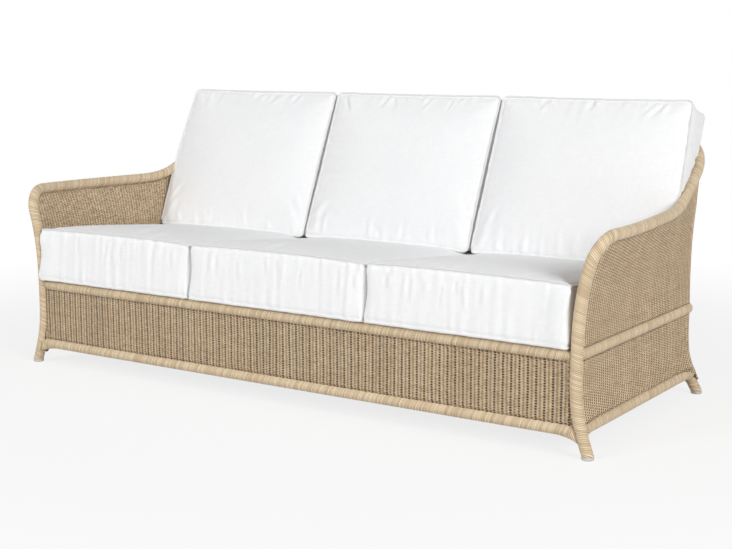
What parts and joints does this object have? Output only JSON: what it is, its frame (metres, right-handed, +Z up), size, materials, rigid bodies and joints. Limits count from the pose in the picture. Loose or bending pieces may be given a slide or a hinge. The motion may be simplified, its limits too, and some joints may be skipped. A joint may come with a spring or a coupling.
{
  "type": "garden sofa",
  "caption": "Garden sofa: a cord-wrapped tube frame with flared arms and woven panels, a strap deck, and loose boxed seat and back cushions.",
  "frame": {"origin": "on the floor, under the centre of the bounding box", "axes": "+X to the right as seen from in front, +Y to the back, +Z up; the sitter faces -Y"},
  "size_m": [2.1676, 0.9648, 0.9136],
  "materials": {
    "wrapped_cord": "matte",
    "woven_cord": "matte",
    "coated_tube": "satin powder coat",
    "webbing": "matte",
    "glide_plastic": "satin",
    "cushion_fabric": "matte woven"
  },
  "bodies": {
    "frame": {"front_seat_rail": "wrapped_cord", "front_lower_rail": "wrapped_cord", "back_seat_rail": "wrapped_cord", "back_top_rail": "wrapped_cord", "back_lower_rail": "wrapped_cord", "left_arm_hoop": "wrapped_cord", "left_rear_post": "wrapped_cord", "left_seat_rail": "wrapped_cord", "left_lower_rail": "wrapped_cord", "left_lower_upright": "coated_tube", "left_upper_upright": "coated_tube", "left_deck_bearer": "coated_tube", "left_front_web": "wrapped_cord", "left_front_side_web": "wrapped_cord", "left_rear_side_web": "wrapped_cord", "left_rear_web": "wrapped_cord", "left_front_glide": "glide_plastic", "left_rear_glide": "glide_plastic", "left_lower_weave": "woven_cord", "left_upper_weave": "woven_cord", "right_arm_hoop": "wrapped_cord", "right_rear_post": "wrapped_cord", "right_seat_rail": "wrapped_cord", "right_lower_rail": "wrapped_cord", "right_lower_upright": "coated_tube", "right_upper_upright": "coated_tube", "right_deck_bearer": "coated_tube", "right_front_web": "wrapped_cord", "right_front_side_web": "wrapped_cord", "right_rear_side_web": "wrapped_cord", "right_rear_web": "wrapped_cord", "right_front_glide": "glide_plastic", "right_rear_glide": "glide_plastic", "right_lower_weave": "woven_cord", "right_upper_weave": "woven_cord", "front_apron_weave": "woven_cord", "back_lower_weave": "woven_cord", "back_upper_weave": "woven_cord", "deck_front_bar": "coated_tube", "deck_back_bar": "coated_tube", "left_strap_1": "webbing", "left_strap_2": "webbing", "left_strap_3": "webbing", "middle_strap_1": "webbing", "middle_strap_2": "webbing", "middle_strap_3": "webbing", "right_strap_1": "webbing", "right_strap_2": "webbing", "right_strap_3": "webbing"},
    "left_seat_cushion": {"left_seat_cushion": "cushion_fabric"},
    "middle_seat_cushion": {"middle_seat_cushion": "cushion_fabric"},
    "right_seat_cushion": {"right_seat_cushion": "cushion_fabric"},
    "left_back_cushion": {"left_back_cushion": "cushion_fabric"},
    "middle_back_cushion": {"middle_back_cushion": "cushion_fabric"},
    "right_back_cushion": {"right_back_cushion": "cushion_fabric"}
  },
  "joints": [
    {"name": "left_seat_slide", "type": "slide", "parent": "frame", "child": "left_seat_cushion", "axis": [0, -0.9959, 0.0906], "range_m": [0, 0.85]},
    {"name": "middle_seat_slide", "type": "slide", "parent": "frame", "child": "middle_seat_cushion", "axis": [0, -0.9959, 0.0906], "range_m": [0, 0.85]},
    {"name": "right_seat_slide", "type": "slide", "parent": "frame", "child": "right_seat_cushion", "axis": [0, -0.9959, 0.0906], "range_m": [0, 0.85]},
    {"name": "left_back_lift", "type": "slide", "parent": "frame", "child": "left_back_cushion", "axis": [0, 0, 1], "range_m": [0, 0.4]},
    {"name": "middle_back_lift", "type": "slide", "parent": "frame", "child": "middle_back_cushion", "axis": [0, 0, 1], "range_m": [0, 0.4]},
    {"name": "right_back_lift", "type": "slide", "parent": "frame", "child": "right_back_cushion", "axis": [0, 0, 1], "range_m": [0, 0.4]}
  ]
}
